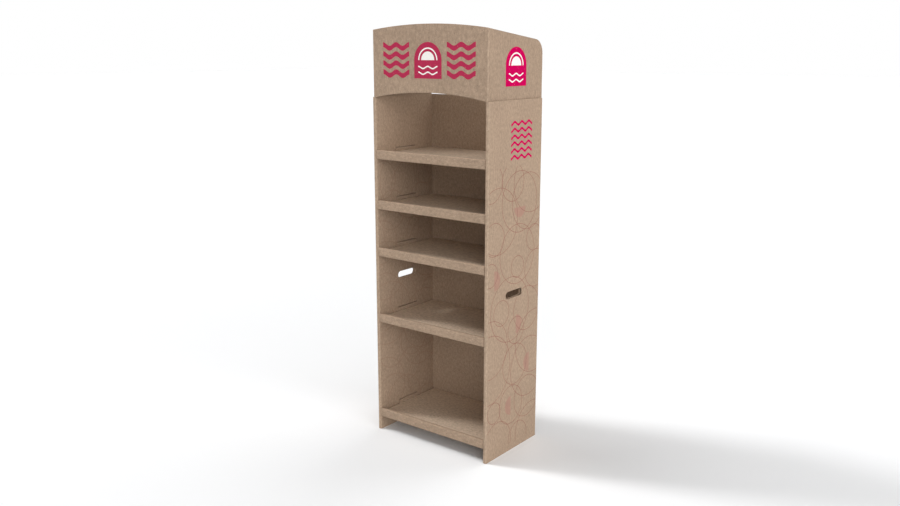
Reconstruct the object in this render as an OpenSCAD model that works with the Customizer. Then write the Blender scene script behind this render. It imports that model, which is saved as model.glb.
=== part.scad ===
// Cardboard floor display stand.
// A body wrap folded from one sheet has a back and two double side walls.
// Five folded shelves hang by side tabs in slots of the inner panels,
// and an arched header stands on the body with its tabs inside the side walls.
// Millimetres, +Z up, front towards -Y; the origin is on the floor under the middle.

/* [Stand] */
// Width across the outer side panels
stand_w = 600; // [480:1:760]
// Depth from the front strips to the back panel
stand_d = 378; // [300:1:480]

/* [Board] */
// Thickness of the corrugated board
board = 4; // [3:0.5:5]
// Radius on the inside of a fold
fold_r = 1; // [0.5:0.25:2]
// Hollow between the outer and the inner panel of a side wall
wall_gap = 8; // [7:0.5:16]
// Clearance between edges that meet
fit = 0.4; // [0.3:0.1:0.5]

/* [Shelf levels] */
// Open height under the bottom shelf's front rail
floor_gap = 62; // [30:1:120]
// Rise from the bottom shelf's rail top to the lower shelf's
bottom_bay = 443; // [300:1:560]
// Rise from the lower shelf's rail top to the middle shelf's
lower_bay = 298; // [160:1:400]
// Rise from the middle shelf's rail top to the upper shelf's
middle_bay = 207; // [120:1:300]
// Rise from the upper shelf's rail top to the top shelf's
upper_bay = 215; // [120:1:300]
// Height of the side walls above the top shelf's rail
top_bay = 221; // [140:1:320]

/* [Shelves] */
// Height of a front rail's face
rail_h = 39; // [34:1:60]
// Depth of a front rail, front to back
rail_d = 16; // [14:1:40]
// Height of a rail's top above its shelf's floor
rail_rise = 15; // [12:1:18]
// Drop of the flanges at a shelf's sides and rear, from its floor
flange_h = 22; // [14:1:30]
// Length of a side tab, front to back
tab_l = 130; // [80:1:180]
// Reach of a side tab's tongue past the inner panel
tongue = 5; // [3:0.5:6]
// Open height of a slot above its tongue
slot_gap = 2.5; // [1:0.5:5]
// Width of the cuts between a tab and its neighbouring flanges
relief = 2; // [1:0.5:5]

/* [Hand holes] */
// Length of a hand hole, front to back
hand_l = 120; // [90:1:150]
// Height of a hand hole
hand_h = 32; // [26:1:44]

/* [Header] */
// Height of the header's front at its corners
header_h = 273; // [200:1:360]
// Rise of the header's arched top edge at the middle
top_arch = 20; // [8:1:60]
// Rise of the header's arched lower edge at the middle
low_arch = 26; // [8:1:60]
// Fall of a wing's top edge from front to rear
wing_drop = 44; // [10:1:90]
// Radius of a wing's upper rear corner
wing_r = 56; // [20:1:90]
// Depth of the wing tabs inside the side walls
tuck = 80; // [40:1:120]
// Setback of a wing tab from the front and rear of the body
tuck_setback = 24; // [12:1:80]
// Slanted lead-in at the lower corners of a wing tab
tuck_lead = 14; // [4:1:30]

/* [Hidden] */
SHELVES = ["bottom_shelf", "lower_shelf", "middle_shelf", "upper_shelf", "top_shelf"];
$fn = 64;
KRAFT = [0.67, 0.56, 0.45];
KRAFT_HEADER = [0.70, 0.59, 0.48];
KRAFT_SHELF = [0.62, 0.51, 0.40];
// Overshoot of a cut past the face it leaves
past = 1;

front_y = -stand_d / 2;
rear_y = stand_d / 2;
half_board = board / 2;
// Radius of a fold at the middle of the board
fold_mid_r = fold_r + half_board;
// Depth of board that a square fold takes up
fold_zone = fold_r + board;
// Inside face of an inner side panel
inner_x = stand_w / 2 - 2 * board - wall_gap;
// Inside face of the back panel
back_y = rear_y - board;

bays = [bottom_bay, lower_bay, middle_bay, upper_bay, top_bay];
// Height of the top of each shelf's rail, from the bottom shelf up
rail_tops = [for (i = 0, z = floor_gap + rail_h; i < len(SHELVES); z = z + bays[i], i = i + 1) z];
body_h = rail_tops[len(SHELVES) - 1] + top_bay;
// The hand holes are halfway up the bay above the lower shelf
hand_z = rail_tops[1] + lower_bay / 2;

// Outside face of a header wing, in the middle of the hollow side wall
header_x = stand_w / 2 - board - (wall_gap - board) / 2;
corner_z = body_h + header_h;
apex_z = corner_z + top_arch;
wing_slope = wing_drop / stand_d;

// Unit vector from one point to another
function heading(a, b) = (b - a) / norm(b - a);

// Radius of the arc that rises by a given height over a given half span
function arch_r(half_span, rise) = (half_span * half_span + rise * rise) / (2 * rise);

// Run a section drawn in Y and Z from one X to another
module run_x(x0, x1) {
    translate([x0, 0, 0])
        rotate([90, 0, 90])
            linear_extrude(x1 - x0)
                children();
}

// Run a section drawn in X and Z from one Y to another
module run_y(y0, y1) {
    translate([0, y1, 0])
        rotate([90, 0, 0])
            linear_extrude(y1 - y0)
                children();
}

// Repeat what is drawn at +X on both sides
module both_sides() {
    for (side = [0, 1])
        mirror([side, 0, 0])
            children();
}

// Board seen edge on, folded squarely along the middle line of a path
module folded_board(path) {
    last = len(path) - 1;
    for (i = [0 : last - 1]) {
        along = heading(path[i], path[i + 1]);
        start = path[i] + along * (i == 0 ? 0 : fold_mid_r);
        stop = path[i + 1] - along * (i == last - 1 ? 0 : fold_mid_r);
        translate(start)
            rotate(atan2(along.y, along.x))
                translate([0, -half_board])
                    square([norm(stop - start), board]);
    }
    for (i = [1 : last - 1]) {
        along = heading(path[i - 1], path[i]);
        turn = heading(path[i], path[i + 1]);
        turns_left = along.x * turn.y - along.y * turn.x > 0;
        translate(path[i] + (turn - along) * fold_mid_r)
            rotate(atan2(along.y, along.x) - (turns_left ? 90 : 0))
                quarter_fold();
    }
}

// One square fold, a quarter of a ring
module quarter_fold() {
    intersection() {
        difference() {
            circle(fold_zone);
            circle(fold_r);
        }
        square(fold_zone);
    }
}

// Plan of the body wrap, from the left inner panel's rear edge round to the right one's
module body_plan() {
    outer_mid = stand_w / 2 - half_board;
    inner_mid = inner_x + half_board;
    strip_mid = front_y + half_board;
    inner_end = back_y - fit;
    folded_board([
        [-inner_mid, inner_end],
        [-inner_mid, strip_mid],
        [-outer_mid, strip_mid],
        [-outer_mid, rear_y - half_board],
        [outer_mid, rear_y - half_board],
        [outer_mid, strip_mid],
        [inner_mid, strip_mid],
        [inner_mid, inner_end]
    ]);
}

// Hand hole outline, a bar with round ends, in Y and Z
module hand_hole() {
    straight = hand_l - hand_h;
    translate([0, hand_z]) {
        square([straight, hand_h], center = true);
        for (end = [-1, 1])
            translate([end * straight / 2, 0])
                circle(d = hand_h);
    }
}

// Slot in an inner panel for the tongue of a shelf's side tab, in Y and Z
module tongue_slot(top_z) {
    slot_l = tab_l + 2 * fit;
    translate([-slot_l / 2, top_z - board])
        square([slot_l, board + slot_gap]);
}

module body_wrap() {
    color(KRAFT)
        difference() {
            linear_extrude(body_h)
                body_plan();
            run_x(-stand_w / 2 - past, stand_w / 2 + past)
                hand_hole();
            both_sides()
                run_x(inner_x - past, inner_x + board + past)
                    for (top_z = rail_tops)
                        tongue_slot(top_z);
        }
}

// Floor, rear flange and closed front rail of a shelf, in Y and Z
module shelf_section(top_z) {
    floor_z = top_z - rail_rise;
    floor_mid = floor_z - half_board;
    flange_mid = back_y - fit - half_board;
    face_mid = front_y + half_board;
    riser_mid = front_y + rail_d - half_board;
    rail_top_mid = top_z - half_board;
    rail_low_mid = top_z - rail_h + half_board;
    folded_board([
        [flange_mid, floor_z - flange_h],
        [flange_mid, floor_mid],
        [riser_mid, floor_mid],
        [riser_mid, rail_top_mid],
        [face_mid, rail_top_mid],
        [face_mid, rail_low_mid],
        [riser_mid, rail_low_mid],
        [riser_mid, floor_z - board - fit]
    ]);
}

// Side tab of a shelf, up from the floor and out through its slot, in X and Z
module tab_section(top_z, floor_x, side_mid) {
    floor_mid = top_z - rail_rise - half_board;
    folded_board([
        [floor_x - board, floor_mid],
        [side_mid, floor_mid],
        [side_mid, top_z - half_board],
        [inner_x + board + tongue, top_z - half_board]
    ]);
}

// Side flange of a shelf, down from the floor, in X and Z
module flange_section(top_z, floor_x, side_mid) {
    floor_z = top_z - rail_rise;
    folded_board([
        [floor_x - board, floor_z - half_board],
        [side_mid, floor_z - half_board],
        [side_mid, floor_z - flange_h]
    ]);
}

module shelf(top_z) {
    rail_x = inner_x - fit;
    // A tab stands off the panel by its fold, so that its tongue enters the slot straight
    side_mid = inner_x - fold_r - half_board;
    // Edge of the flat floor, where the side folds begin
    floor_x = side_mid - fold_mid_r;
    side_front = front_y + rail_d + fold_zone;
    side_rear = back_y - fit - fold_zone;
    tab_y = tab_l / 2;
    color(KRAFT_SHELF)
        union() {
            difference() {
                run_x(-rail_x, rail_x)
                    shelf_section(top_z);
                both_sides()
                    translate([floor_x, side_front - relief, top_z - rail_rise - flange_h - past])
                        cube([rail_x - floor_x + past, stand_d, rail_rise + flange_h]);
            }
            both_sides() {
                run_y(-tab_y, tab_y)
                    tab_section(top_z, floor_x, side_mid);
                run_y(side_front, -tab_y - relief)
                    flange_section(top_z, floor_x, side_mid);
                run_y(tab_y + relief, side_rear)
                    flange_section(top_z, floor_x, side_mid);
            }
        }
}

// Plan of the header, a front panel between two wings
module header_plan() {
    wing_mid = header_x - half_board;
    panel_mid = front_y + half_board;
    folded_board([
        [-wing_mid, rear_y],
        [-wing_mid, panel_mid],
        [wing_mid, panel_mid],
        [wing_mid, rear_y]
    ]);
}

// Everything below the header's arched top edge, in X and Z
module under_top_arch() {
    radius = arch_r(header_x, top_arch);
    intersection() {
        translate([0, apex_z - radius])
            circle(radius);
        translate([-header_x, body_h - tuck])
            square([2 * header_x, apex_z - body_h + tuck]);
    }
}

// Opening below the header's arched lower edge, in X and Z
module low_arch_opening() {
    radius = arch_r(inner_x, low_arch);
    translate([0, body_h + low_arch - radius])
        circle(radius);
}

// Height of a wing's sloping top edge at a given Y
function wing_z(y) = corner_z - wing_slope * (y - front_y);

// Side view of the header: front panel, sloping wing with a round rear corner, and wing tab
module wing_outline() {
    panel_y = front_y + fold_zone;
    tab_front = front_y + tuck_setback;
    tab_rear = rear_y - tuck_setback;
    tab_z = body_h - tuck;
    difference() {
        polygon([
            [front_y, body_h],
            [front_y, apex_z],
            [panel_y, apex_z],
            [panel_y, wing_z(panel_y)],
            [rear_y, wing_z(rear_y)],
            [rear_y, body_h],
            [tab_rear, body_h],
            [tab_rear, tab_z + tuck_lead],
            [tab_rear - tuck_lead, tab_z],
            [tab_front + tuck_lead, tab_z],
            [tab_front, tab_z + tuck_lead],
            [tab_front, body_h]
        ]);
        wing_corner();
    }
}

// What the round leaves off a wing's upper rear corner, in Y and Z
module wing_corner() {
    steepness = norm([1, wing_slope]);
    upright = [wing_slope, 1] / steepness;
    round_y = rear_y - wing_r;
    centre = [round_y, wing_z(round_y) - wing_r * steepness];
    difference() {
        polygon([
            centre,
            centre + (wing_r + past) * upright,
            [rear_y + past, wing_z(rear_y) + past],
            [rear_y + past, centre.y]
        ]);
        translate(centre)
            circle(wing_r);
    }
}

module header() {
    color(KRAFT_HEADER)
        difference() {
            intersection() {
                translate([0, 0, body_h - tuck])
                    linear_extrude(apex_z - body_h + tuck)
                        header_plan();
                run_y(front_y, rear_y)
                    under_top_arch();
                run_x(-header_x, header_x)
                    wing_outline();
            }
            run_y(front_y - past, front_y + fold_zone)
                low_arch_opening();
        }
}

body_wrap();
header();
for (i = [0 : len(SHELVES) - 1])
    shelf(rail_tops[i]);
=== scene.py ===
# %% [markdown]
# # A cardboard display stand
# The stand is seven folded sheets of kraft corrugated board: a body wrap with double side walls, five
# shelves and an arched header. The solids come from the frame with their true folds, slots and hand holes.
# This lesson gives them their looks: the board's liners and flutes, the printed shapes and lines, and a
# plain studio.

# %% Load the frame
import math
import bmesh
import bpy
from mathutils import Matrix, Vector


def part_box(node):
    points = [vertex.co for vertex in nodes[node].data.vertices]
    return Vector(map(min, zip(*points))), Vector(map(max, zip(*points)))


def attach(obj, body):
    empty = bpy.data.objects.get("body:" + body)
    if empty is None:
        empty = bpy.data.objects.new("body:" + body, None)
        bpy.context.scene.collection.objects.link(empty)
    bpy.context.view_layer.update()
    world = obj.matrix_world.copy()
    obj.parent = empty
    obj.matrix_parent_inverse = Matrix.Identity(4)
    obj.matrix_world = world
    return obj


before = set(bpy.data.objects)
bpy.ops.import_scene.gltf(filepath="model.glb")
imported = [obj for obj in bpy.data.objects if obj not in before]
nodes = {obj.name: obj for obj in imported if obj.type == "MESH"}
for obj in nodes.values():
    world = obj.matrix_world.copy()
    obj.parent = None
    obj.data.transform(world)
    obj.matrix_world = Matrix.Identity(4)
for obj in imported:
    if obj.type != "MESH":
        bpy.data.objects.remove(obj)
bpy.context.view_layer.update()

print("nodes:", sorted(nodes))

# %% [markdown]
# ## Sizes read from the frame
# Every later step hangs on a few planes of the stand: its panels, the tops of its rails and the ends of its
# sheets. They are measured on the solids and not typed in again, so that a piece lies on the true face of
# its panel. Only the board and the double wall that it makes are typed in, because a box doesn't show them.

# %% Planes of the stand
MM = 0.001
BOARD = 4 * MM
WALL = 16 * MM
SHELVES = ["bottom_shelf", "lower_shelf", "middle_shelf", "upper_shelf", "top_shelf"]
body_low, body_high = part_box("body_wrap")
header_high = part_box("header")[1]
rail_tops = [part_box(name)[1][2] for name in SHELVES]
side_x, rear_y, body_z = body_high
front_y = body_low[1]
wing_x, apex_z = header_high[0], header_high[2]
inner_x = side_x - WALL
hand_z = (rail_tops[1] + rail_tops[2]) / 2
print(f"body {2 * side_x:.3f} x {rear_y - front_y:.3f} x {body_z:.3f} m, header to {apex_z:.3f} m")

# %% [markdown]
# ## The camera
# The view was worked out from the straight edges of the stand: their vanishing points give the lens and the
# tilt, and the known width gives the distance. A camera that is set from numbers can be checked and kept,
# which a hand-placed one can't.

# %% Camera
SENSOR = 36.0
LENS = 36.14
CAMERA_AT = (2.3205, -3.0089, 1.6762)
CAMERA_TURN = math.radians(38.07)
CAMERA_DOWN = math.radians(12.65)
scene = bpy.context.scene
camera_data = bpy.data.cameras.new("camera")
camera_data.sensor_width = SENSOR
camera_data.lens = LENS
camera = bpy.data.objects.new("camera", camera_data)
camera.location = CAMERA_AT
camera.rotation_euler = (math.pi / 2 - CAMERA_DOWN, 0, CAMERA_TURN)
scene.collection.objects.link(camera)
scene.camera = camera
scene.view_settings.view_transform = "Standard"
print("camera at", CAMERA_AT)

# %% [markdown]
# ## Helpers for node trees
# Materials, the world and Geometry Nodes are all trees of nodes. One helper adds a node, sets its options
# and fills its inputs: an output socket is linked, and anything else is set as a value. The others are short
# ways to write the sums and blends that come up again and again.


# %% Node helpers
def add(tree, kind, settings=None, inputs=None):
    """Add a node with its options and inputs."""
    made = tree.nodes.new(kind)
    for key, value in (settings or {}).items():
        setattr(made, key, value)
    for key, value in (inputs or {}).items():
        if isinstance(value, bpy.types.NodeSocket):
            tree.links.new(value, made.inputs[key])
        else:
            made.inputs[key].default_value = value
    return made


def sums(tree, operation, a, b=0.0):
    """One sum on two numbers."""
    return add(tree, "ShaderNodeMath", {"operation": operation}, {0: a, 1: b}).outputs[0]


def remap(tree, value, low, high, out_low=0.0, out_high=1.0):
    """Stretch a range of a value to another range, cut off at both ends."""
    inputs = {0: value, 1: low, 2: high, 3: out_low, 4: out_high}
    return add(tree, "ShaderNodeMapRange", None, inputs).outputs[0]


def blend(tree, share, first, second):
    """Blend two colours by a share from 0 to 1."""
    settings = {"data_type": "RGBA", "clamp_factor": True}
    return add(tree, "ShaderNodeMix", settings, {0: share, 6: first, 7: second}).outputs[2]


def colour(red, green, blue):
    """A colour written in 0 to 255, as shader nodes want it."""
    channels = []
    for value in (red, green, blue):
        share = value / 255
        channels.append(share / 12.92 if share <= 0.04045 else ((share + 0.055) / 1.055) ** 2.4)
    return (*channels, 1.0)


# %% [markdown]
# ## Floor and light
# The stand is on an endless white floor, and all its light comes from suns, because a sun lights the floor
# evenly to the horizon. Two of them are the key light on the left, one low and one high, like a tall narrow
# window: their shadows fall to the right one over the other, so the shadow has clear sides and fades with
# distance. The others have wide discs and fill in from the right, the front, the back and above. The camera
# sees the world as plain white, and the floor as a whiter white than the one that throws light back on to
# the stand.

# %% Floor
FLOOR_HALF = 60.0
FLOOR_SEEN = (0.972, 0.978, 0.986, 1.0)
FLOOR_BOUNCE = (0.84, 0.84, 0.84, 1.0)


def seen_rays(tree):
    """1 for rays that show a surface to the camera, straight or in a gloss, and 0 for light alone."""
    path = add(tree, "ShaderNodeLightPath").outputs
    eye = sums(tree, "MAXIMUM", path["Is Camera Ray"], path["Is Glossy Ray"])
    return sums(tree, "MAXIMUM", eye, path["Is Transmission Ray"])


def make_floor():
    """One big square, a whiter white to the camera than to the light."""
    mesh = bpy.data.meshes.new("floor")
    corners = [(-1, -1), (1, -1), (1, 1), (-1, 1)]
    mesh.from_pydata([(x * FLOOR_HALF, y * FLOOR_HALF, 0) for x, y in corners], [], [(0, 1, 2, 3)])
    material = bpy.data.materials.new("studio_white")
    material.use_nodes = True
    tree = material.node_tree
    shader = tree.nodes["Principled BSDF"]
    tree.links.new(blend(tree, seen_rays(tree), FLOOR_BOUNCE, FLOOR_SEEN), shader.inputs["Base Color"])
    shader.inputs["Roughness"].default_value = 0.9
    shader.inputs["Specular IOR Level"].default_value = 0.0
    mesh.materials.append(material)
    floor = bpy.data.objects.new("floor", mesh)
    scene.collection.objects.link(floor)


make_floor()
print(f"floor: {2 * FLOOR_HALF:.0f} m square")

# %% Lamps and world
WORLD_LEVEL = 0.017


def make_sun(name, comes_from, strength, disc):
    """A sun that shines from a direction; disc is its width in degrees, and a wide one has soft shadows."""
    data = bpy.data.lights.new(name, "SUN")
    data.energy = strength
    data.angle = math.radians(disc)
    sun = bpy.data.objects.new(name, data)
    sun.rotation_euler = (-Vector(comes_from)).to_track_quat("-Z", "Y").to_euler()
    scene.collection.objects.link(sun)


def make_world():
    """Faint even light that is seen as plain white."""
    world = bpy.data.worlds.new("studio")
    world.use_nodes = True
    tree = world.node_tree
    tree.nodes.clear()
    light = add(tree, "ShaderNodeBackground", None, {"Color": (1, 1, 1, 1), "Strength": WORLD_LEVEL})
    seen = add(tree, "ShaderNodeBackground", None, {"Color": (1, 1, 1, 1), "Strength": 1.0})
    mixed = {0: seen_rays(tree), 1: light.outputs[0], 2: seen.outputs[0]}
    chosen = add(tree, "ShaderNodeMixShader", None, mixed)
    add(tree, "ShaderNodeOutputWorld", None, {"Surface": chosen.outputs[0]})
    scene.world = world


make_sun("key_low", (-0.80, -0.30, 0.76), 1.21, 10)
make_sun("key_high", (-0.80, -0.30, 1.62), 0.79, 26)
make_sun("side_fill", (0.92, -0.22, 0.25), 1.94, 55)
make_sun("front_low", (0.52, -0.76, 0.22), 0.83, 45)
make_sun("front_high", (0.45, -0.75, 0.55), 0.27, 40)
make_sun("back_light", (0.15, 0.85, 0.95), 0.86, 50)
make_sun("top_light", (0.0, 0.0, 1.0), 0.26, 80)
make_world()
print("light: seven suns, and a faint even world")

# %% [markdown]
# ## Kraft board
# The liner is unbleached paper: a warm grey brown with short fibres, dark and pale flecks, and faint ribs
# where the flutes show through, in the bump and as painted shade in the tone. All of it is made from noise
# on
# Object coordinates, so it needs no unwrapping and keeps its real scale in metres. Cut edges are painted
# dark, as painted shadow in the hollow between the liners, under the flutes that come later. The paper is a
# little paler along the folds, and the shelves' floors are painted paler still, as painted light.

# %% Kraft colours and flecks
KRAFT = colour(168, 145, 124)
FLECK_DARK = colour(100, 77, 59)
FLECK_PALE = colour(221, 200, 177)
# Painted shadow: cut edges get this dark brown for the shade in the hollow between the liners.
FLUTE_SHADOW = colour(96, 72, 55)
FLUTE_PITCH = 7 * MM
FLECK_WARP = 0.9
FLECK_SMALLEST = 0.5
FLECK_LARGEST = 1.2
FLECK_CORE = 0.4


def flecks(tree, where, per_metre, size, share):
    """Scattered flecks: the middles of some of the cells of a Voronoi texture, with uneven outlines."""
    rough = add(tree, "ShaderNodeTexNoise", None, {"Vector": where, "Scale": 2 * per_metre}).outputs["Color"]
    scaled = {0: rough, "Scale": FLECK_WARP / per_metre}
    warp = add(tree, "ShaderNodeVectorMath", {"operation": "SCALE"}, scaled).outputs[0]
    warped = add(tree, "ShaderNodeVectorMath", {"operation": "ADD"}, {0: where, 1: warp}).outputs[0]
    cells = add(tree, "ShaderNodeTexVoronoi", None, {"Vector": warped, "Scale": per_metre})
    pick = add(tree, "ShaderNodeSeparateColor", None, {0: cells.outputs["Color"]})
    reach = remap(tree, pick.outputs[1], 0.0, 1.0, FLECK_SMALLEST * size, FLECK_LARGEST * size)
    middle = remap(tree, cells.outputs["Distance"], reach, sums(tree, "MULTIPLY", reach, FLECK_CORE))
    return sums(tree, "MULTIPLY", middle, sums(tree, "LESS_THAN", pick.outputs[0], share))


def noise(tree, where, per_metre, detail):
    """Soft noise from 0 to 1."""
    inputs = {"Vector": where, "Scale": per_metre, "Detail": detail}
    return add(tree, "ShaderNodeTexNoise", None, inputs).outputs[0]


# %% [markdown]
# A panel's own facts differ by piece: which way its flutes run, where its cut edges get painted shadow, and
# where it is paler: along its folds, and as painted light on a shelf's floor. Each fact is a small function
# that gets the point and its normal and gives one number, so one recipe serves all the boards.

# %% Flutes, cut shadow and paler paper
FOLD_PALE = 0.15
FOLD_PALE_FULL = 1 * MM
FOLD_PALE_END = 7 * MM
# Painted light: a shelf's floor is made paler behind the rail and between the tabs.
FLOOR_PAINTED_LIGHT = 0.8
RAIL_CLEAR = 18 * MM
TAB_CLEAR = 8 * MM


def choose(tree, share, first, second):
    """The first number where share is 0, the second where it is 1."""
    swing = sums(tree, "SUBTRACT", second, first)
    return sums(tree, "ADD", first, sums(tree, "MULTIPLY", share, swing))


def faces(tree, facing, axis):
    """1 where the surface looks along an axis, either way."""
    return sums(tree, "GREATER_THAN", sums(tree, "ABSOLUTE", facing.outputs[axis]), 0.5)


def upright_flutes(tree, spot, facing):
    """Distance across upright flutes: Y on the side panels and X on the others."""
    return choose(tree, faces(tree, facing, 0), spot.outputs[0], spot.outputs[1])


def level_flutes(tree, spot, facing):
    """Distance across flutes that run the width of a shelf: Z on upright faces and Y on level ones."""
    return choose(tree, faces(tree, facing, 2), spot.outputs[2], spot.outputs[1])


def upright_cut_shadow(tree, spot, facing):
    """Where painted shadow goes: the cut edges of upright panels, which face up or down."""
    return faces(tree, facing, 2)


def no_cut_shadow(tree, spot, facing):
    """No painted shadow, as a shelf's cut edges are out of sight."""
    return 0.0


def fold_paling(tree, spot, facing):
    """Paler paper at the upright fold at the end of a panel."""
    ends = [sums(tree, "ABSOLUTE", spot.outputs[axis]) for axis in (0, 1)]
    on_front = sums(tree, "SUBTRACT", wing_x, ends[0])
    on_side = sums(tree, "SUBTRACT", rear_y, ends[1])
    gone = sums(tree, "ABSOLUTE", choose(tree, faces(tree, facing, 0), on_front, on_side))
    return remap(tree, gone, FOLD_PALE_END, FOLD_PALE_FULL, 0.0, FOLD_PALE)


def painted_floor_light(tree, spot, facing):
    """Painted light on a shelf's floor, behind the rail and between the tabs."""
    up = sums(tree, "GREATER_THAN", facing.outputs[2], 0.5)
    behind = sums(tree, "GREATER_THAN", spot.outputs[1], front_y + RAIL_CLEAR)
    between = sums(tree, "LESS_THAN", sums(tree, "ABSOLUTE", spot.outputs[0]), inner_x - TAB_CLEAR)
    open_floor = sums(tree, "MULTIPLY", sums(tree, "MULTIPLY", up, behind), between)
    return sums(tree, "MULTIPLY", open_floor, FLOOR_PAINTED_LIGHT)


# %% [markdown]
# The recipe itself: broad clouds, a mottle, stretched fibres and the ribs multiply one another into a tone
# for the paper, and the ribs' swing is painted shade. The paler paper, the flecks and the painted shadow on
# cut edges are blended over it, and the same noises drive the bump and roughness. A scale counts features in
# a metre, and a swing is how far the tone goes up and down. Each row of flecks has a colour, a count in a
# metre, a size in cells, the share of cells that have one, and a strength.

# %% Kraft recipe
CLOUD_SCALE = 7.0
CLOUD_SWING = 0.05
MOTTLE_SCALE = 130.0
MOTTLE_SWING = 0.20
FIBRE_SCALE = 420.0
FIBRE_SWING = 0.12
# Painted shade: the ribs of the flutes darken and lighten the tone.
RIB_SHADE_SWING = 0.015
FLECKS = (
    (FLECK_PALE, 320.0, 0.36, 0.20, 0.55),
    (FLECK_DARK, 420.0, 0.36, 0.18, 0.60),
    (FLECK_DARK, 190.0, 0.28, 0.16, 0.60),
)


def kraft_board(name, shade, stretch, flutes, cut_shadow_mask, paling):
    """A liner's material; shade is the sheet's own tone, and stretch draws its fibres out."""
    material = bpy.data.materials.new(name)
    material.use_nodes = True
    tree = material.node_tree
    shader = tree.nodes["Principled BSDF"]
    coords = add(tree, "ShaderNodeTexCoord")
    place = coords.outputs["Object"]
    facing = add(tree, "ShaderNodeSeparateXYZ", None, {0: coords.outputs["Normal"]})
    spot = add(tree, "ShaderNodeSeparateXYZ", None, {0: place})
    stretched = add(tree, "ShaderNodeMapping", None, {"Vector": place, "Scale": stretch}).outputs[0]
    cloud = noise(tree, place, CLOUD_SCALE, 3.0)
    mottle = noise(tree, stretched, MOTTLE_SCALE, 4.0)
    fibre = noise(tree, stretched, FIBRE_SCALE, 3.0)
    across = flutes(tree, spot, facing)
    rib = sums(tree, "SINE", sums(tree, "MULTIPLY", across, 2 * math.pi / FLUTE_PITCH))
    tone = shade
    for value, low, high, swing in (
        (cloud, 0.25, 0.75, CLOUD_SWING),
        (mottle, 0.25, 0.75, MOTTLE_SWING),
        (fibre, 0.25, 0.75, FIBRE_SWING),
        (rib, -1.0, 1.0, RIB_SHADE_SWING),
    ):
        tone = sums(tree, "MULTIPLY", tone, remap(tree, value, low, high, 1.0 - swing, 1.0 + swing))
    # Paler paper along the folds, and painted light on the shelves' floors.
    pale_share = sums(tree, "MULTIPLY", paling(tree, spot, facing), remap(tree, mottle, 0.3, 0.7, 0.4, 1.0))
    scaled = {0: KRAFT[:3], "Scale": tone}
    paper = add(tree, "ShaderNodeVectorMath", {"operation": "SCALE"}, scaled).outputs[0]
    paper = blend(tree, pale_share, paper, FLECK_PALE)
    for tint, per_metre, size, share, strength in FLECKS:
        cover = sums(tree, "MULTIPLY", flecks(tree, stretched, per_metre, size, share), strength)
        paper = blend(tree, cover, paper, tint)
    # Painted shadow of the flutes' hollow on the cut edges.
    paper = blend(tree, cut_shadow_mask(tree, spot, facing), paper, FLUTE_SHADOW)
    height = sums(tree, "ADD", sums(tree, "MULTIPLY", fibre, 0.5), sums(tree, "MULTIPLY", mottle, 0.3))
    height = sums(tree, "ADD", height, sums(tree, "MULTIPLY", rib, 0.12))
    bump = add(tree, "ShaderNodeBump", None, {"Strength": 0.25, "Distance": 0.4 * MM, "Height": height})
    tree.links.new(paper, shader.inputs["Base Color"])
    tree.links.new(remap(tree, mottle, 0.3, 0.7, 0.82, 0.95), shader.inputs["Roughness"])
    tree.links.new(bump.outputs[0], shader.inputs["Normal"])
    shader.inputs["Specular IOR Level"].default_value = 0.2
    return material


# %% Dress the boards
UPRIGHT = (1.0, 1.0, 0.6)
LEVEL = (0.6, 1.0, 1.0)
body_board = kraft_board("body_board", 1.0, UPRIGHT, upright_flutes, upright_cut_shadow, fold_paling)
header_board = kraft_board("header_board", 0.96, UPRIGHT, upright_flutes, upright_cut_shadow, fold_paling)
# The shelves get painted light on their floors.
shelf_board = kraft_board("shelf_board", 0.95, LEVEL, level_flutes, no_cut_shadow, painted_floor_light)
finishes = {"body_wrap": body_board, "header": header_board}
finishes.update({name: shelf_board for name in SHELVES})
for name, material in finishes.items():
    nodes[name].data.materials.clear()
    nodes[name].data.materials.append(material)
    print(name, "->", material.name)

# %% [markdown]
# ## Pieces that lie on the board
# Everything added from here on is thin and lies on a panel or an edge. A piece is a plain mesh at the origin
# that rides on the stand. Print is drawn flat in its panel's own plane, as across, up and out, and one
# matrix puts it on the stand.


# %% Panels
def panel(board, across, out, origin):
    """A panel's board, and the matrix from the panel's own plane to the stand."""
    columns = [Vector(across), Vector((0, 0, 1)), Vector(out), Vector(origin)]
    rows = [[column[i] for column in columns] for i in range(3)]
    return board, Matrix(rows + [[0, 0, 0, 1]])


PANELS = {
    "header_front": panel("header_board", (1, 0, 0), (0, -1, 0), (0, front_y, 0)),
    "right_wing": panel("header_board", (0, 1, 0), (1, 0, 0), (wing_x, 0, 0)),
    "left_wing": panel("header_board", (0, -1, 0), (-1, 0, 0), (-wing_x, 0, 0)),
    "right_side": panel("body_board", (0, 1, 0), (1, 0, 0), (side_x, 0, 0)),
    "left_side": panel("body_board", (0, -1, 0), (-1, 0, 0), (-side_x, 0, 0)),
    "right_inside": panel("body_board", (0, -1, 0), (-1, 0, 0), (inner_x, 0, 0)),
    "left_inside": panel("body_board", (0, 1, 0), (1, 0, 0), (-inner_x, 0, 0)),
}
print("panels:", ", ".join(PANELS))


def keep_piece(name, mesh):
    """Make a finished mesh a piece of the stand."""
    piece = bpy.data.objects.new(name, mesh)
    scene.collection.objects.link(piece)
    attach(piece, "root")
    print(f"{name}: {len(mesh.polygons)} faces")


# %% [markdown]
# ## Geometry Nodes trees
# What repeats is made by Geometry Nodes. A tree gets named inputs for its sizes, runs once on a carrier
# object, and its result is kept as a plain mesh, so nothing live is left in the scene.


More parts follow.
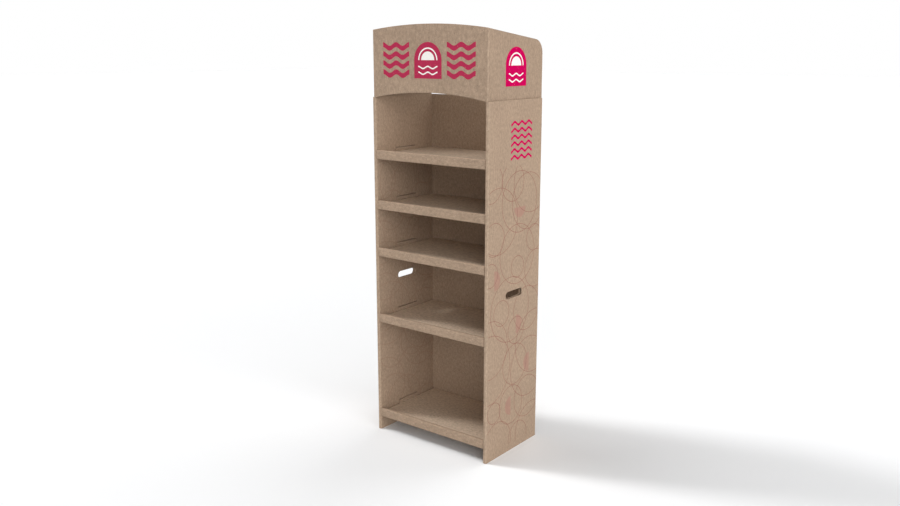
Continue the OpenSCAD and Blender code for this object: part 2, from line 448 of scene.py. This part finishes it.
# %% Run a tree
def new_tree(name, numbers):
    """An empty tree with number inputs and a material; whole numbers become integer inputs."""
    tree = bpy.data.node_groups.new(name, "GeometryNodeTree")
    tree.interface.new_socket("Geometry", in_out="INPUT", socket_type="NodeSocketGeometry")
    for label, value in numbers.items():
        kind = "NodeSocketInt" if isinstance(value, int) else "NodeSocketFloat"
        tree.interface.new_socket(label, in_out="INPUT", socket_type=kind).default_value = value
    tree.interface.new_socket("Material", in_out="INPUT", socket_type="NodeSocketMaterial")
    tree.interface.new_socket("Geometry", in_out="OUTPUT", socket_type="NodeSocketGeometry")
    return tree, add(tree, "NodeGroupInput").outputs


def end_tree(tree, geometry, material):
    """Realise, shade flat, give the material and put out."""
    real = add(tree, "GeometryNodeRealizeInstances", None, {0: geometry}).outputs[0]
    shading = {"Geometry": real, "Shade Smooth": False}
    flat = add(tree, "GeometryNodeSetShadeSmooth", None, shading).outputs[0]
    dressed = add(tree, "GeometryNodeSetMaterial", None, {"Geometry": flat, "Material": material})
    add(tree, "NodeGroupOutput", None, {0: dressed.outputs[0]})


def run_tree(tree, inputs, base=None):
    """Run a tree on a carrier and keep the result as a plain mesh."""
    carrier = bpy.data.objects.new("carrier", base or bpy.data.meshes.new("carrier"))
    scene.collection.objects.link(carrier)
    modifier = carrier.modifiers.new("nodes", "NODES")
    modifier.node_group = tree
    for item in tree.interface.items_tree:
        if item.in_out == "INPUT" and item.name in inputs:
            modifier[item.identifier] = inputs[item.name]
    graph = bpy.context.evaluated_depsgraph_get()
    mesh = bpy.data.meshes.new_from_object(carrier.evaluated_get(graph))
    bpy.data.objects.remove(carrier)
    return mesh


# %% [markdown]
# ## Flutes at the cut edges
# Where corrugated board is cut, its edge shows two flat liners with a wavy sheet between them. A path runs
# along the middle of each edge and carries two values: which way the board's thickness lies, and how far
# along the panel the point is. The tree offsets the path into two liners and a sine wave and gives all three
# a small square section. The wave follows the distance along the panel, so an edge that is cut along the
# flutes shows a straight line. The crests of the wave sink a little into the liners, as if glued.

# %% Fluted edge tree
LINER = 0.5 * MM
CREST_INSET = 1.2
FLUTE_STEP = 0.9 * MM


def fluted_edge_tree():
    """Two liners and a wave along the paths of a mesh of lines."""
    sizes = {"Board": BOARD, "Liner": LINER, "Inset": CREST_INSET, "Pitch": FLUTE_PITCH, "Step": FLUTE_STEP}
    tree, given = new_tree("fluted_edge", sizes)
    path = add(tree, "GeometryNodeMeshToCurve", None, {0: given["Geometry"]}).outputs[0]
    cut = {"Curve": path, "Length": given["Step"]}
    fine = add(tree, "GeometryNodeResampleCurve", {"mode": "LENGTH"}, cut).outputs[0]
    named = "GeometryNodeInputNamedAttribute"
    across = add(tree, named, {"data_type": "FLOAT_VECTOR"}, {"Name": "across"}).outputs[0]
    along = add(tree, named, {"data_type": "FLOAT"}, {"Name": "along"}).outputs[0]
    half = sums(tree, "MULTIPLY", given["Board"], 0.5)
    liner_off = sums(tree, "SUBTRACT", half, sums(tree, "MULTIPLY", given["Liner"], 0.5))
    wave_off = sums(tree, "SUBTRACT", half, sums(tree, "MULTIPLY", given["Liner"], given["Inset"]))
    turns = sums(tree, "DIVIDE", along, given["Pitch"])
    sine = sums(tree, "SINE", sums(tree, "MULTIPLY", turns, 2 * math.pi))
    flute = sums(tree, "MULTIPLY", sine, wave_off)
    joined = add(tree, "GeometryNodeJoinGeometry")
    for curve, shift in ((path, liner_off), (path, sums(tree, "MULTIPLY", liner_off, -1.0)), (fine, flute)):
        scaled = {0: across, "Scale": shift}
        offset = add(tree, "ShaderNodeVectorMath", {"operation": "SCALE"}, scaled).outputs[0]
        moved = add(tree, "GeometryNodeSetPosition", None, {"Geometry": curve, "Offset": offset})
        tree.links.new(moved.outputs[0], joined.inputs[0])
    square = {0: given["Liner"], 1: given["Liner"]}
    section = add(tree, "GeometryNodeCurvePrimitiveQuadrilateral", None, square).outputs[0]
    swept = {"Curve": joined.outputs[0], "Profile Curve": section, "Fill Caps": True}
    strips = add(tree, "GeometryNodeCurveToMesh", None, swept).outputs[0]
    end_tree(tree, strips, given["Material"])
    return tree


# %% [markdown]
# The paths repeat the folds of the boards. A plan line turns its square folds into small arcs, and each
# point keeps the direction across the board and the running length. Heights come from the edge's own rule:
# level on the body, arched and sloped on the header.

# %% Edge paths
FOLD_MID = 3 * MM
FOLD_STEPS = 6


def folded_line(corners):
    """Plan points of a board with square folds, each with the direction across it and the running length."""
    points = [Vector(corners[0])]
    for before, corner, after in zip(corners, corners[1:], corners[2:]):
        into = (Vector(corner) - Vector(before)).normalized()
        out = (Vector(after) - Vector(corner)).normalized()
        centre = Vector(corner) + (out - into) * FOLD_MID
        for step in range(FOLD_STEPS + 1):
            angle = math.pi / 2 * step / FOLD_STEPS
            points.append(centre + (into * math.sin(angle) - out * math.cos(angle)) * FOLD_MID)
    points.append(Vector(corners[-1]))
    run = []
    length = 0.0
    for i, point in enumerate(points):
        length += (point - points[i - 1]).length if i else 0.0
        ahead = (points[min(i + 1, len(points) - 1)] - points[max(i - 1, 0)]).normalized()
        run.append((point, Vector((-ahead.y, ahead.x)), length))
    return run


def cut_long_steps(run, longest):
    """Add points so that no step of a plan run is longer than a given length."""
    fine = [run[0]]
    for (a, across_a, at_a), (b, across_b, at_b) in zip(run, run[1:]):
        steps = max(1, math.ceil((at_b - at_a) / longest))
        for step in range(1, steps + 1):
            share = step / steps
            fine.append((a.lerp(b, share), across_a.lerp(across_b, share), at_a + (at_b - at_a) * share))
    return fine


class EdgePaths:
    """Collects edge runs as one mesh of lines with their two values."""

    def __init__(self):
        self.points, self.lines, self.across, self.along = [], [], [], []

    def add_run(self, points, across, along, closed=False):
        """Add one line of points with a direction across and a running length for each."""
        first = len(self.points)
        self.points += points
        self.across += across
        self.along += along
        self.lines += [(first + i, first + i + 1) for i in range(len(points) - 1)]
        if closed:
            self.lines.append((len(self.points) - 1, first))

    def add_folded(self, points, run):
        """Add points that stand over a folded plan line, with that line's own values."""
        across = [(vector.x, vector.y, 0) for _, vector, _ in run]
        self.add_run(points, across, [length for _, _, length in run])

    def mesh(self, name):
        """The lines as a mesh, with the two values as attributes of its points."""
        mesh = bpy.data.meshes.new(name)
        mesh.from_pydata(self.points, self.lines, [])
        across = mesh.attributes.new("across", "FLOAT_VECTOR", "POINT")
        across.data.foreach_set("vector", [value for vector in self.across for value in vector])
        mesh.attributes.new("along", "FLOAT", "POINT").data.foreach_set("value", self.along)
        return mesh


# %% [markdown]
# The body has a level top edge and two hand holes. The header's edges are an arch over the front, a slope
# down each wing, a round rear corner, and a second arch below. These few sizes are the sheets' own and are
# repeated here, because an edge path can't be read off a box.

# %% Body and header edges
HALF_BOARD = BOARD / 2
TOP_ARCH = 20 * MM
LOW_ARCH = 26 * MM
WING_DROP = 44 * MM
WING_ROUND = 56 * MM
HAND_LONG = 120 * MM
HAND_HIGH = 32 * MM
HAND_STEPS = 48
ARCH_STEPS = 90
LONGEST_STEP = 6 * MM
corner_z = apex_z - TOP_ARCH


def arch_drop(x, half_span, rise):
    """How far an arch has fallen from its top at a distance x from its middle."""
    radius = (half_span ** 2 + rise ** 2) / (2 * rise)
    return radius - math.sqrt(radius ** 2 - x ** 2)


def header_edge_z(point):
    """Height of the header's top edge over a point of its plan."""
    x, y = abs(point.x), point.y
    if y < front_y + FOLD_MID + HALF_BOARD:
        return apex_z - arch_drop(min(x, wing_x), wing_x, TOP_ARCH)
    slope = WING_DROP / (rear_y - front_y)
    steep = math.hypot(1, slope)
    round_y = rear_y - WING_ROUND
    round_z = corner_z - slope * (round_y - front_y) - WING_ROUND * steep
    if y > round_y + WING_ROUND * slope / steep:
        return round_z + math.sqrt(max(0.0, WING_ROUND ** 2 - (y - round_y) ** 2))
    return corner_z - slope * (y - front_y)


def body_edge_path():
    """The body's top edge, and the rims of the hand holes in all four side panels."""
    outer = side_x - HALF_BOARD
    inner = inner_x + HALF_BOARD
    strip = front_y + HALF_BOARD
    back = rear_y - HALF_BOARD
    rear_end = rear_y - BOARD
    corners = [(-inner, rear_end), (-inner, strip), (-outer, strip), (-outer, back), (outer, back)]
    corners += [(outer, strip), (inner, strip), (inner, rear_end)]
    run = folded_line(corners)
    paths = EdgePaths()
    paths.add_folded([(point.x, point.y, body_z) for point, _, _ in run], run)
    radius = HAND_HIGH / 2
    straight = HAND_LONG / 2 - radius
    loop = []
    for step in range(HAND_STEPS):
        angle = 2 * math.pi * (step + 0.5) / HAND_STEPS
        end = math.copysign(straight, math.cos(angle))
        loop.append((end + radius * math.cos(angle), hand_z + radius * math.sin(angle)))
    for x in (-outer, -inner, inner, outer):
        rim = [(x, y, z) for y, z in loop]
        paths.add_run(rim, [(1, 0, 0)] * len(loop), [y for y, _ in loop], closed=True)
    return paths


def header_edge_path():
    """The header's edge up one wing, over the front and down the other, and the arch below the front."""
    wing = wing_x - HALF_BOARD
    strip = front_y + HALF_BOARD
    run = folded_line([(-wing, rear_y), (-wing, strip), (wing, strip), (wing, rear_y)])
    run = cut_long_steps(run, LONGEST_STEP)
    points = [(point.x, point.y, header_edge_z(point)) for point, _, _ in run]
    points = [(-wing, rear_y, body_z)] + points + [(wing, rear_y, body_z)]
    paths = EdgePaths()
    paths.add_folded(points, [run[0]] + run + [run[-1]])
    low = [inner_x * (2 * step / ARCH_STEPS - 1) for step in range(ARCH_STEPS + 1)]
    arch = [(x, strip, body_z + LOW_ARCH - arch_drop(x, inner_x, LOW_ARCH)) for x in low]
    paths.add_run(arch, [(0, 1, 0)] * len(arch), low)
    return paths


# %% Flutes
EDGE_DARK = colour(163, 137, 113)
EDGE_PALE = colour(202, 178, 153)
EDGE_SCALE = 600.0


def paper_edge():
    """Plain paper for liners and flutes seen on edge."""
    material = bpy.data.materials.new("paper_edge")
    material.use_nodes = True
    tree = material.node_tree
    shader = tree.nodes["Principled BSDF"]
    place = add(tree, "ShaderNodeTexCoord").outputs["Object"]
    rough = noise(tree, place, EDGE_SCALE, 4.0)
    paper = blend(tree, remap(tree, rough, 0.3, 0.7), EDGE_DARK, EDGE_PALE)
    tree.links.new(paper, shader.inputs["Base Color"])
    bump = add(tree, "ShaderNodeBump", None, {"Strength": 0.3, "Distance": 0.2 * MM, "Height": rough})
    tree.links.new(bump.outputs[0], shader.inputs["Normal"])
    shader.inputs["Roughness"].default_value = 0.9
    shader.inputs["Specular IOR Level"].default_value = 0.2
    return material


fluted_edge = fluted_edge_tree()
edge_paper = paper_edge()
for name, paths, slot in (
    ("body_edge_flutes", body_edge_path(), "body_board"),
    ("header_edge_flutes", header_edge_path(), "header_board"),
):
    keep_piece(name, run_tree(fluted_edge, {"Material": edge_paper}, paths.mesh(name)))

# %% [markdown]
# ## Ink
# Ink on kraft soaks into the paper: it is matt, a little uneven, and the darker fibres and bare specks show
# through. Each printed colour is one material made by the same recipe, and a film of it is only a tenth of a
# millimetre thick.

# %% Ink materials
FILM = 0.1 * MM
INK_MOTTLE_SCALE = 95.0
SPECK_SCALE = 420.0
SPECK_SIZE = 0.42


def printed_ink(name, ink, bare, through):
    """A printed colour; bare is the share of specks without ink, through how far the paper's tone shows."""
    material = bpy.data.materials.new(name)
    material.use_nodes = True
    tree = material.node_tree
    shader = tree.nodes["Principled BSDF"]
    place = add(tree, "ShaderNodeTexCoord").outputs["Object"]
    stretched = add(tree, "ShaderNodeMapping", None, {"Vector": place, "Scale": UPRIGHT}).outputs[0]
    mottle = noise(tree, stretched, INK_MOTTLE_SCALE, 4.0)
    fibre = noise(tree, stretched, FIBRE_SCALE, 3.0)
    tone = sums(tree, "ADD", sums(tree, "MULTIPLY", mottle, 0.6), sums(tree, "MULTIPLY", fibre, 0.4))
    tone = remap(tree, tone, 0.3, 0.7, 1.0 - through, 1.0 + through)
    scaled = {0: ink[:3], "Scale": tone}
    film = add(tree, "ShaderNodeVectorMath", {"operation": "SCALE"}, scaled).outputs[0]
    film = blend(tree, flecks(tree, stretched, SPECK_SCALE, SPECK_SIZE, bare), film, KRAFT)
    bump = add(tree, "ShaderNodeBump", None, {"Strength": 0.2, "Distance": 0.3 * MM, "Height": fibre})
    tree.links.new(film, shader.inputs["Base Color"])
    tree.links.new(remap(tree, mottle, 0.3, 0.7, 0.62, 0.8), shader.inputs["Roughness"])
    tree.links.new(bump.outputs[0], shader.inputs["Normal"])
    shader.inputs["Specular IOR Level"].default_value = 0.03
    return material


# Two copies of one crimson: painted shade dulls the front's, painted light brightens the sides'.
front_crimson_painted_shade = printed_ink("front_crimson_painted_shade", colour(178, 50, 82), 0.03, 0.10)
side_crimson_painted_light = printed_ink("side_crimson_painted_light", colour(200, 0, 85), 0.02, 0.08)
white_ink = printed_ink("white_ink", colour(246, 242, 238), 0.02, 0.03)
pink_ink = printed_ink("pink_ink", colour(170, 135, 119), 0.15, 0.10)
line_ink = printed_ink("line_ink", colour(150, 109, 94), 0.10, 0.12)
faint_ink = printed_ink("faint_ink", colour(159, 131, 112), 0.10, 0.12)
inks = (front_crimson_painted_shade, side_crimson_painted_light, white_ink, pink_ink, line_ink, faint_ink)
print("inks:", ", ".join(ink.name for ink in inks))

# %% [markdown]
# ## Printed shapes
# The header and the sides carry fields of crimson in simple shapes: arches with a white sun over ripples,
# and stacks of waves like the flutes of the board. A shape is an outline in its panel's plane, and a film is
# that outline with a little thickness, so that it is a closed solid on the paper and not a floating sheet.


# %% Outlines
def arc(x, z, radius, start, stop, steps=32):
    """Points along an arc, with angles in degrees."""
    angles = [math.radians(start + (stop - start) * i / steps) for i in range(steps + 1)]
    return [(x + radius * math.cos(a), z + radius * math.sin(a)) for a in angles]


def half_disc(x, z, radius, start=0):
    """Half a disc, from the angle where its arc starts."""
    return arc(x, z, radius, start, start + 180)


def half_ring(x, z, inside, outside):
    """The upper half of a ring."""
    return arc(x, z, outside, 0, 180) + arc(x, z, inside, 180, 0)


def arch_field(x, z, width, straight):
    """A field with straight sides and a round top, on its base line z."""
    half = width / 2
    return [(x - half, z), (x + half, z)] + arc(x, z + straight, half, 0, 180)


def wave(width, length, swing, thick, steps=72):
    """One wavy stripe around the origin."""
    across = [width * (i / steps - 0.5) for i in range(steps + 1)]
    middle = [(x, swing * math.cos(2 * math.pi * x / length)) for x in across]
    return [(x, z - thick / 2) for x, z in middle] + [(x, z + thick / 2) for x, z in reversed(middle)]


def films(outlines, lift=0.0, thick=FILM):
    """One mesh of closed films, in the panel's plane."""
    shape = bmesh.new()
    for outline in outlines:
        top = [shape.verts.new((x, z, lift + thick)) for x, z in outline]
        low = [shape.verts.new((x, z, lift)) for x, z in outline]
        shape.faces.new(top)
        shape.faces.new(low[::-1])
        for i in range(len(outline)):
            shape.faces.new((low[i - 1], low[i], top[i], top[i - 1]))
    mesh = bpy.data.meshes.new("films")
    shape.to_mesh(mesh)
    shape.free()
    return mesh


def print_on(name, panel_name, mesh, ink):
    """Put a flat mesh on a panel in one ink; a mesh from a tree already has it."""
    board, place = PANELS[panel_name]
    mesh.transform(place)
    if not mesh.materials:
        mesh.materials.append(ink)
    keep_piece(name, mesh)


# %% [markdown]
# One wave is drawn, and a tree stacks it: a line of points with a fixed step, and a copy of the wave on
# each.


# %% Stack tree
def stack_tree():
    """Copies of a shape in rows, one over the other."""
    tree, given = new_tree("stack", {"Rows": 4, "Up": 36 * MM})
    step = add(tree, "ShaderNodeCombineXYZ", None, {1: given["Up"]}).outputs[0]
    line = {"Count": given["Rows"], "Offset": step}
    points = add(tree, "GeometryNodeMeshLine", {"mode": "OFFSET"}, line).outputs[0]
    copies = {"Points": points, "Instance": given["Geometry"]}
    placed = add(tree, "GeometryNodeInstanceOnPoints", None, copies).outputs[0]
    end_tree(tree, placed, given["Material"])
    return tree


stack = stack_tree()
print("tree:", stack.name)

# %% [markdown]
# The header's front has an arch between two stacks of waves, and each wing has an arch. Below the header
# each side has a stack of finer waves. Their heights are counted from the top edge of the body, where the
# header begins. The sun and the ripples in an arch are drawn as shares of its width, so that arches of two
# sizes carry the same picture.

# %% Arches and waves
FRONT_ARCH = {"low": body_z + 81 * MM, "width": 140 * MM, "straight": 72 * MM}
WING_ARCH = {"low": body_z + 53 * MM, "width": 144 * MM, "straight": 80 * MM}
SUN_DISC = 0.24
SUN_RING = (0.31, 0.35)
RIPPLE = {"width": 0.70, "length": 0.35, "swing": 0.03, "thick": 0.04}
RIPPLES_UP = (0.15, 0.31)


def print_arch(panel_name, ink, low, width, straight):
    """An arch with a white half disc and half ring under its round top, and two white ripples below them."""
    field = arch_field(0, low, width, straight)
    print_on(f"{panel_name}_arch", panel_name, films([field]), ink)
    middle = low + straight
    inside, outside = (share * width for share in SUN_RING)
    marks = [half_disc(0, middle, SUN_DISC * width), half_ring(0, middle, inside, outside)]
    ripple = wave(**{key: share * width for key, share in RIPPLE.items()})
    for share in RIPPLES_UP:
        marks.append([(x, z + low + share * width) for x, z in ripple])
    print_on(f"{panel_name}_whites", panel_name, films(marks, FILM), white_ink)


FRONT_WAVE = {"width": 140 * MM, "length": 70 * MM, "swing": 7 * MM, "thick": 20 * MM}
SIDE_WAVE = {"width": 150 * MM, "length": 50 * MM, "swing": 6 * MM, "thick": 10 * MM}
FRONT_STACK = {"low": body_z + 98 * MM, "rows": 4, "up": 36 * MM}
SIDE_STACK = {"low": body_z - 227 * MM, "rows": 6, "up": 27 * MM}
FRONT_STACK_X = 166 * MM
SIDE_STACK_X = 38 * MM


def print_waves(name, panel_name, ink, outline, x, low, rows, up):
    """A stack of waves; low is the height of the lowest wave's middle."""
    mesh = run_tree(stack, {"Rows": rows, "Up": up, "Material": ink}, films([outline]))
    mesh.transform(Matrix.Translation((x, low, 0)))
    print_on(name, panel_name, mesh, ink)


front_wave = wave(**FRONT_WAVE)
side_wave = wave(**SIDE_WAVE)
print_arch("header_front", front_crimson_painted_shade, **FRONT_ARCH)
for side, x in (("left", -FRONT_STACK_X), ("right", FRONT_STACK_X)):
    name = f"header_front_{side}_waves"
    print_waves(name, "header_front", front_crimson_painted_shade, front_wave, x, **FRONT_STACK)
for side in ("right", "left"):
    print_arch(f"{side}_wing", side_crimson_painted_light, **WING_ARCH)
    name = f"{side}_side_waves"
    print_waves(name, f"{side}_side", side_crimson_painted_light, side_wave, SIDE_STACK_X, **SIDE_STACK)

# %% [markdown]
# ## Line pattern
# The walls carry thin faint rings of many sizes that cross one another over the whole panel. The tree
# jitters the points of a grid, puts a circle of random size on each, and only then gives the circles their
# section, so that large and small rings have lines of one width. Each ring lies a hair higher than the
# last, because faces at one height would flicker where rings cross. The random numbers have a fixed seed.

# %% Ring tree
RING_GRID = {"Columns": 3, "Rows": 9, "Across": 130 * MM, "Up": 136 * MM, "Jitter": 45 * MM, "Seed": 7}
RING_SIZES = {"Smallest": 44 * MM, "Largest": 150 * MM, "Line": 2.2 * MM, "Film": FILM, "Lift": 0.003 * MM}
RING_STEPS = 160


def ring_tree():
    """Rings of random size on the jittered points of a grid."""
    tree, given = new_tree("rings", {**RING_GRID, **RING_SIZES})
    spans = []
    for count, step in (("Columns", "Across"), ("Rows", "Up")):
        spans.append(sums(tree, "MULTIPLY", sums(tree, "SUBTRACT", given[count], 1.0), given[step]))
    grid_inputs = {0: spans[0], 1: spans[1], 2: given["Columns"], 3: given["Rows"]}
    grid = add(tree, "GeometryNodeMeshGrid", None, grid_inputs).outputs[0]

    def draw(low, high, number):
        """A random number for each point; draws with other numbers differ."""
        seed = sums(tree, "ADD", given["Seed"], number)
        made = add(tree, "FunctionNodeRandomValue", {"data_type": "FLOAT"}, {2: low, 3: high, "Seed": seed})
        return made.outputs[1]

    back = sums(tree, "MULTIPLY", given["Jitter"], -1.0)
    moves = [draw(back, given["Jitter"], number) for number in (0.0, 1.0)]
    lift = sums(tree, "MULTIPLY", add(tree, "GeometryNodeInputIndex").outputs[0], given["Lift"])
    offset = add(tree, "ShaderNodeCombineXYZ", None, {0: moves[0], 1: moves[1], 2: lift}).outputs[0]
    points = add(tree, "GeometryNodeSetPosition", None, {"Geometry": grid, "Offset": offset}).outputs[0]
    unit = {"Resolution": RING_STEPS, "Radius": 1.0}
    circle = add(tree, "GeometryNodeCurvePrimitiveCircle", None, unit).outputs[0]
    size = draw(given["Smallest"], given["Largest"], 2.0)
    rings = {"Points": points, "Instance": circle, "Scale": size}
    placed = add(tree, "GeometryNodeInstanceOnPoints", None, rings).outputs[0]
    curves = add(tree, "GeometryNodeRealizeInstances", None, {0: placed}).outputs[0]
    even = add(tree, "GeometryNodeSetCurveRadius", None, {"Curve": curves, "Radius": 1.0}).outputs[0]
    thick = sums(tree, "MULTIPLY", given["Film"], 2.0)
    section = add(tree, "GeometryNodeCurvePrimitiveQuadrilateral", None, {0: given["Line"], 1: thick})
    swept = {"Curve": even, "Profile Curve": section.outputs[0]}
    ribbons = add(tree, "GeometryNodeCurveToMesh", None, swept).outputs[0]
    end_tree(tree, ribbons, given["Material"])
    return tree


rings = ring_tree()
print("tree:", rings.name)

# %% [markdown]
# The sheet is printed before it is cut, so the lines stop at the panel's ends, the hand holes and the
# slots. A ring is a chain of short lengths with four faces each. Lengths that lie off the paper are taken
# away whole, and the square ends that they leave are closed again.

# %% Cut the lines
LINES_LOW = 30 * MM
LINES_TOP = body_z - 263 * MM
FOLD_MARGIN = 7 * MM
CUT_MARGIN = 4 * MM
SLOT_LONG = 131 * MM
SLOT_BELOW = 8 * MM
SLOT_ABOVE = 7 * MM
LENGTH_FACES = 4


def off_paper(across, up, inside):
    """True where a point of a wall is past the print's end or over a hand hole or, inside, over a slot."""
    if abs(across) > rear_y - FOLD_MARGIN or not LINES_LOW < up < LINES_TOP:
        return True
    end = max(0.0, abs(across) - (HAND_LONG - HAND_HIGH) / 2)
    if math.hypot(end, up - hand_z) < HAND_HIGH / 2 + CUT_MARGIN:
        return True
    in_slot = any(-SLOT_BELOW < up - top < SLOT_ABOVE for top in rail_tops)
    return inside and in_slot and abs(across) < SLOT_LONG / 2 + CUT_MARGIN


def cut_lines(mesh, inside):
    """Take away the short lengths of line that are off the paper."""
    shape = bmesh.new()
    shape.from_mesh(mesh)
    shape.faces.ensure_lookup_table()
    gone = []
    for first in range(0, len(shape.faces), LENGTH_FACES):
        length = shape.faces[first:first + LENGTH_FACES]
        middle = sum((face.calc_center_median() for face in length), Vector()) / LENGTH_FACES
        if off_paper(middle.x, middle.y, inside):
            gone += length
    bmesh.ops.delete(shape, geom=gone, context="FACES")
    open_edges = [edge for edge in shape.edges if edge.is_boundary]
    bmesh.ops.holes_fill(shape, edges=open_edges, sides=LENGTH_FACES)
    shape.to_mesh(mesh)
    shape.free()


# %% [markdown]
# Each wall has its own rings, drawn alike on its two faces, and the print inside is fainter. A few half
# discs in a soft pink lie under the lines on the outside. Each patch is a place across and up in
# millimetres, and the angle where its arc starts.

# %% Lines and patches on the walls
SEEDS = {"right": 7, "left": 12}
PATCH_ROUND = 42 * MM
PATCHES = [(-12, 205, 90), (122, 366, 90), (18, 556, 270), (-142, 772, 270), (34, 1052, 180)]
lines_middle = (LINES_LOW + LINES_TOP) / 2
patches = [half_disc(x * MM, z * MM, PATCH_ROUND, start) for x, z, start in PATCHES]
for side, seed in SEEDS.items():
    print_on(f"{side}_side_patches", f"{side}_side", films(patches, 0.0, FILM / 2), pink_ink)
    for wall, ink in (("side", line_ink), ("inside", faint_ink)):
        lines = run_tree(rings, {"Seed": seed, "Material": ink})
        lines.transform(Matrix.Translation((0, lines_middle, 0)))
        cut_lines(lines, wall == "inside")
        print_on(f"{side}_{wall}_lines", f"{side}_{wall}", lines, ink)
